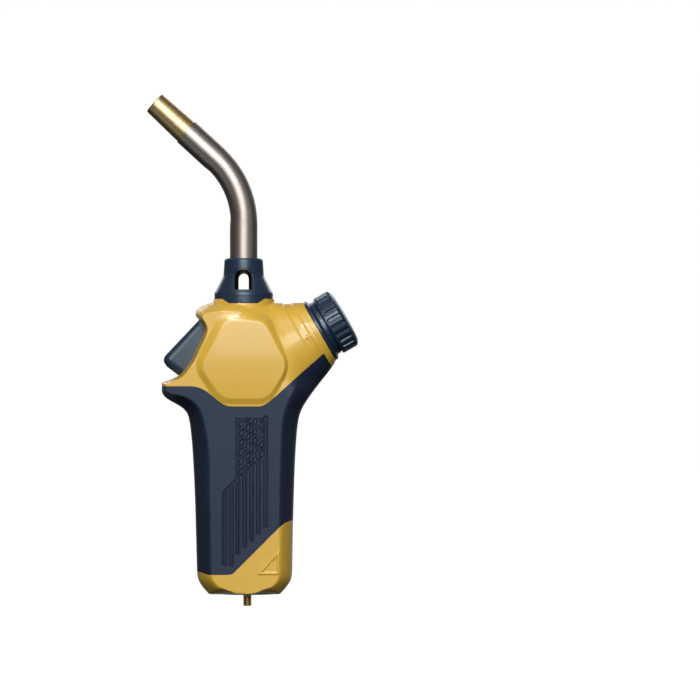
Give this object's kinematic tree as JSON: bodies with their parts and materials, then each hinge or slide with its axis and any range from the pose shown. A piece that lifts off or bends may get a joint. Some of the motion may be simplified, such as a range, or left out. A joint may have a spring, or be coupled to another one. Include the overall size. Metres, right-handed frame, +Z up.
{
  "type": "hand torch head",
  "caption": "Hand-held gas torch head: upright two-tone grip, pull trigger, flow knob, slotted air collar and bent burn tube; screws onto a small fuel cylinder.",
  "frame": {"origin": "axis of the fuel-cylinder inlet at the underside of the handle, on the moulding's parting plane", "axes": "+Z up along the inlet axis towards the burn tube, -X towards the flame tip and trigger, +X towards the flow knob, Y across the two moulded halves"},
  "size_m": [0.0928, 0.04, 0.223],
  "materials": {
    "housing_plastic": "satin moulded, yellow",
    "grip_rubber": "matte soft-touch, dark navy",
    "navy_plastic": "satin moulded, dark navy",
    "trigger_plastic": "satin moulded, slate blue",
    "tube_steel": "fine circumferential brushing",
    "spring_steel": "drawn wire",
    "screw_steel": "zinc plated",
    "cast_zinc": "die cast, as machined",
    "brass": "turned",
    "seal_rubber": "nitrile, black",
    "ceramic_white": "glazed ceramic look",
    "piezo_plastic": "moulded, black",
    "wire_jacket": "silicone jacket"
  },
  "bodies": {
    "torch": {"housing_left": "housing_plastic", "housing_right": "housing_plastic", "grip_left": "grip_rubber", "grip_right": "grip_rubber", "housing_screws": "screw_steel", "inlet_fitting": "cast_zinc", "inlet_pin": "brass", "inlet_seal": "seal_rubber", "inlet_filter": "brass", "regulator_body": "cast_zinc", "diaphragm": "seal_rubber", "regulator_spring": "spring_steel", "regulator_bonnet": "cast_zinc", "adjusting_screw": "brass", "gas_tube": "brass", "tube_nut": "brass", "valve_body": "brass", "plunger_spring": "spring_steel", "flow_oring": "seal_rubber", "packing_nut": "brass", "knob_flange": "navy_plastic", "trigger_pin": "spring_steel", "piezo_body": "piezo_plastic", "piezo_spring": "spring_steel", "ignition_wire": "wire_jacket", "electrode": "spring_steel", "electrode_insulator": "ceramic_white", "orifice": "brass", "mixer": "brass", "air_collar": "navy_plastic", "burn_tube": "tube_steel", "flame_tip": "brass", "flame_holder": "tube_steel"},
    "trigger": {"trigger": "trigger_plastic"},
    "piezo_plunger": {"piezo_plunger": "piezo_plastic"},
    "valve_plunger": {"valve_plunger": "brass", "plunger_oring": "seal_rubber"},
    "knob": {"flow_knob": "navy_plastic"},
    "stem": {"flow_stem": "brass"},
    "diaphragm_group": {"diaphragm_plate": "cast_zinc", "regulator_poppet": "brass"}
  },
  "joints": [
    {"name": "trigger_pull", "type": "hinge", "parent": "torch", "child": "trigger", "pos_m": [-0.0175, 0, 0.1175], "axis": [0, -1, 0], "range_deg": [0, 14], "stiffness_Nm_per_rad": 0.6, "springref_deg": -8.59},
    {"name": "piezo_stroke", "type": "slide", "parent": "torch", "child": "piezo_plunger", "axis": [1, 0, 0], "range_m": [0, 0.006], "deforming": ["piezo_spring"]},
    {"name": "shutoff_stroke", "type": "slide", "parent": "torch", "child": "valve_plunger", "axis": [1, 0, 0], "range_m": [0, 0.0044], "deforming": ["plunger_spring"]},
    {"name": "knob_turn", "type": "hinge", "parent": "torch", "child": "knob", "pos_m": [0.0314, 0, 0.1145], "axis": [0.866, 0, 0.5], "range_deg": [0, 300]},
    {"name": "stem_feed", "type": "slide", "parent": "knob", "child": "stem", "axis": [0.866, 0, 0.5], "range_m": [0, 0.00064]},
    {"name": "diaphragm_travel", "type": "slide", "parent": "torch", "child": "diaphragm_group", "axis": [0, 0, -1], "range_m": [0, 0.0005], "stiffness_N_per_m": 6000, "springref_m": -0.0002, "deforming": ["diaphragm", "regulator_spring"]}
  ],
  "couplings": [
    {"joint": "piezo_stroke", "follows": "trigger_pull", "m_per_rad": 0.024},
    {"joint": "shutoff_stroke", "follows": "trigger_pull", "m_per_rad": 0.0172},
    {"joint": "stem_feed", "follows": "knob_turn", "m_per_rad": 0.00011937}
  ]
}
